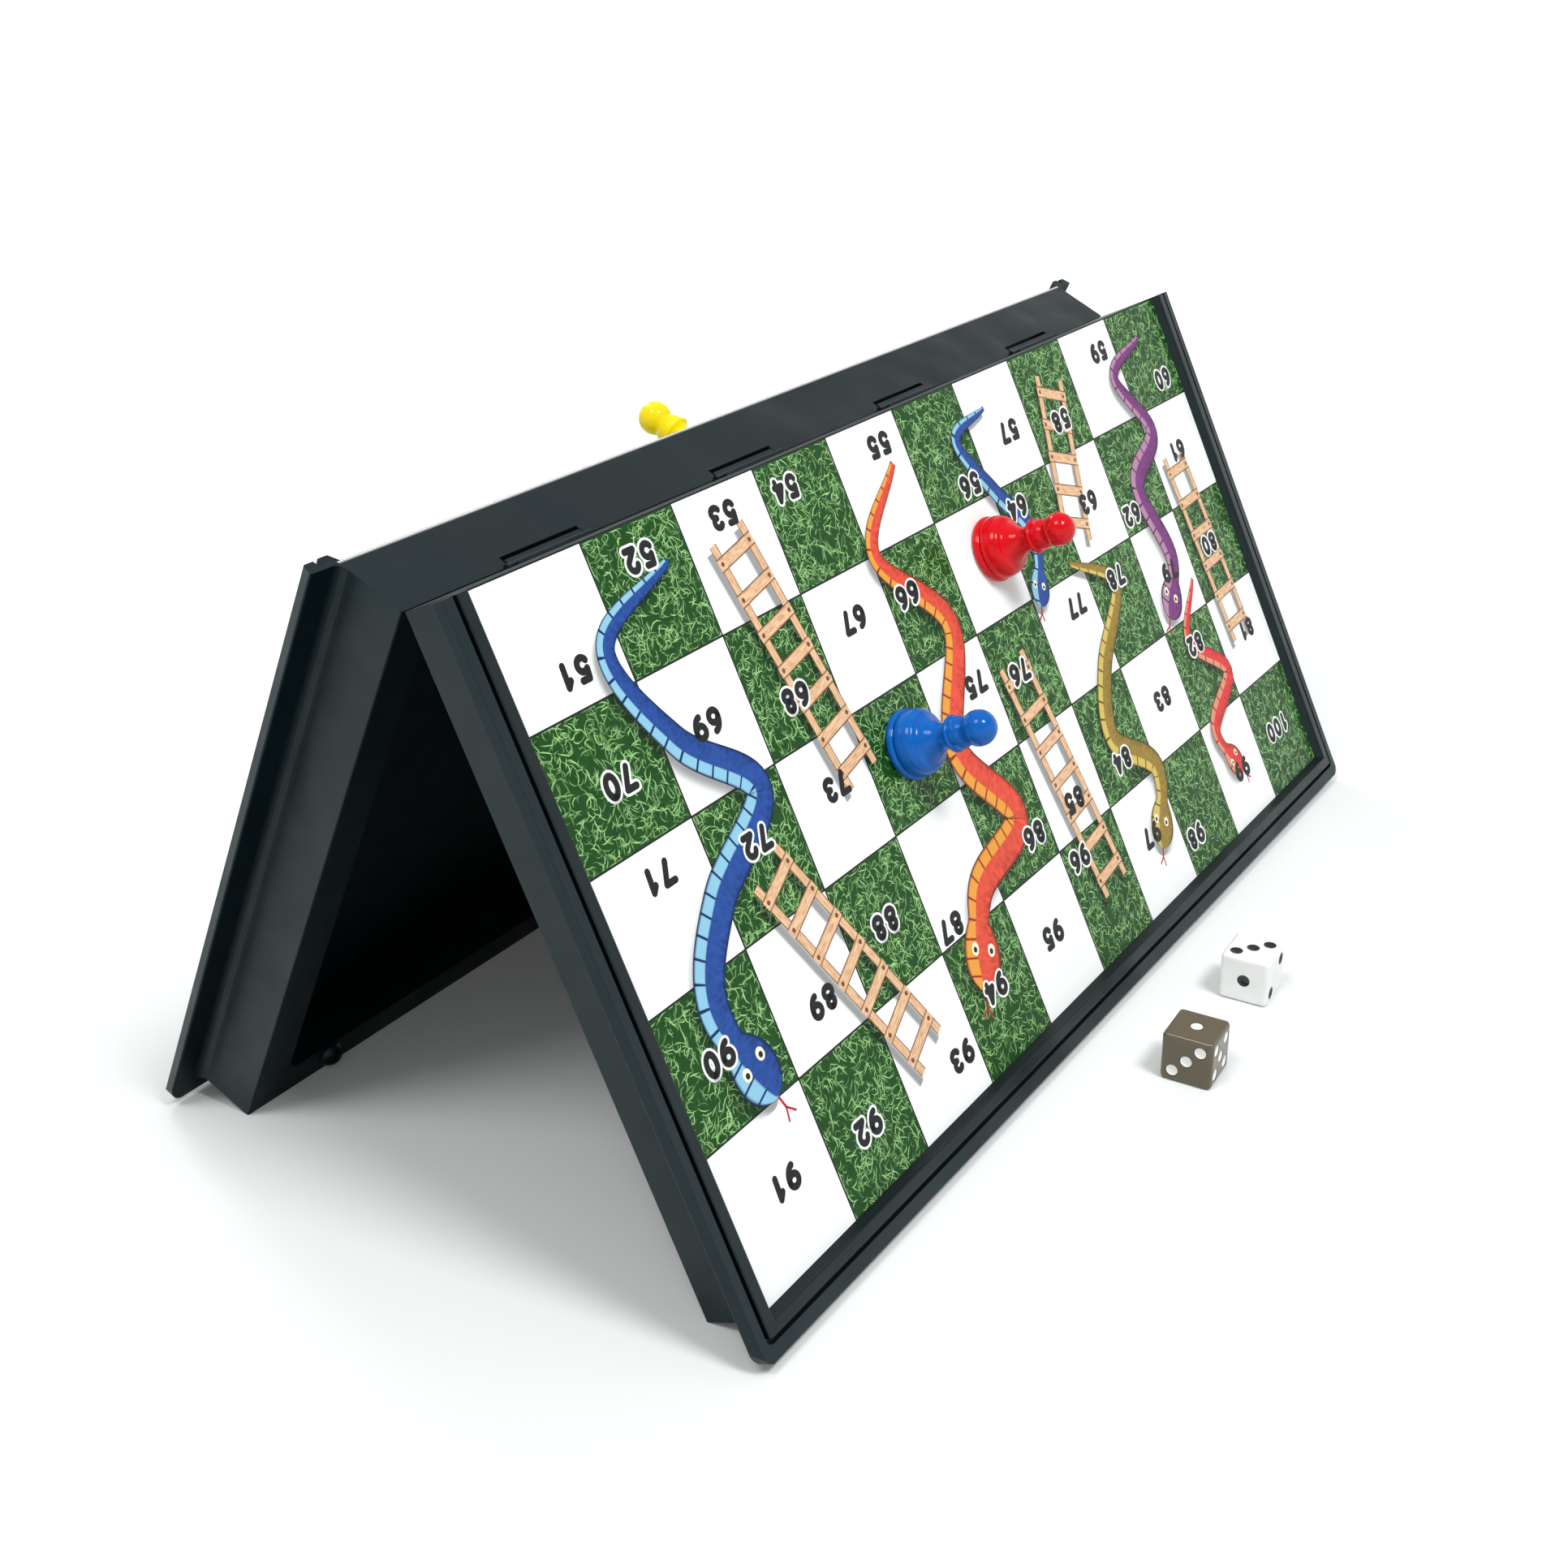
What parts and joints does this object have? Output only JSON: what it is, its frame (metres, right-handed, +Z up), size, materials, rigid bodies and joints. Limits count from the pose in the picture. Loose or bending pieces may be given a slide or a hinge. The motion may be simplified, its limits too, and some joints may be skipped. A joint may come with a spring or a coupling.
{
  "type": "folding snakes and ladders board",
  "caption": "Folding travel board game case standing as a tent, with a printed steel play face on each hinged half, storage trays inside, magnetic pawns and dice.",
  "frame": {"origin": "on the table, straight under the middle of the hinge line", "axes": "X along the hinge, Y from the front half to the back half, Z up"},
  "size_m": [0.248, 0.1602, 0.1145],
  "materials": {
    "case_plastic": "satin moulded, near black",
    "frame_plastic": "satin moulded, near black",
    "steel_sheet": "cold rolled",
    "printed_sheet": "laminated print",
    "red_plastic": "glossy",
    "blue_plastic": "glossy",
    "yellow_plastic": "glossy",
    "ferrite": "sintered",
    "white_dice_plastic": "polished",
    "brown_dice_plastic": "polished"
  },
  "bodies": {
    "front_half": {"front_shell": "case_plastic", "front_steel_sheet": "steel_sheet", "front_print_sheet": "printed_sheet", "front_clamp_frame": "frame_plastic"},
    "back_half": {"back_shell": "case_plastic", "back_steel_sheet": "steel_sheet", "back_print_sheet": "printed_sheet", "back_clamp_frame": "frame_plastic"},
    "red_pawn": {"pawn_red": "red_plastic", "pawn_red_magnet": "ferrite"},
    "blue_pawn": {"pawn_blue": "blue_plastic", "pawn_blue_magnet": "ferrite"},
    "yellow_pawn": {"pawn_yellow": "yellow_plastic", "pawn_yellow_magnet": "ferrite"},
    "white_die": {"die_white": "white_dice_plastic"},
    "brown_die": {"die_brown": "brown_dice_plastic"}
  },
  "joints": [
    {"name": "fold_hinge", "type": "hinge", "parent": "front_half", "child": "back_half", "pos_m": [0, 0, 0.10807], "axis": [1, 0, 0], "range_deg": [-50.6, 129.4]},
    {"name": "pawn_red_lift", "type": "slide", "parent": "front_half", "child": "red_pawn", "axis": [0, -0.9041, 0.4274], "range_m": [0, 0.06]},
    {"name": "pawn_blue_lift", "type": "slide", "parent": "front_half", "child": "blue_pawn", "axis": [0, -0.9041, 0.4274], "range_m": [0, 0.06]},
    {"name": "pawn_yellow_lift", "type": "slide", "parent": "back_half", "child": "yellow_pawn", "axis": [0, 0.9041, 0.4274], "range_m": [0, 0.06]},
    {"name": "die_white_lift", "type": "slide", "parent": "front_half", "child": "white_die", "axis": [0, 0, 1], "range_m": [0, 0.06]},
    {"name": "die_brown_lift", "type": "slide", "parent": "front_half", "child": "brown_die", "axis": [0, 0, 1], "range_m": [0, 0.06]}
  ]
}
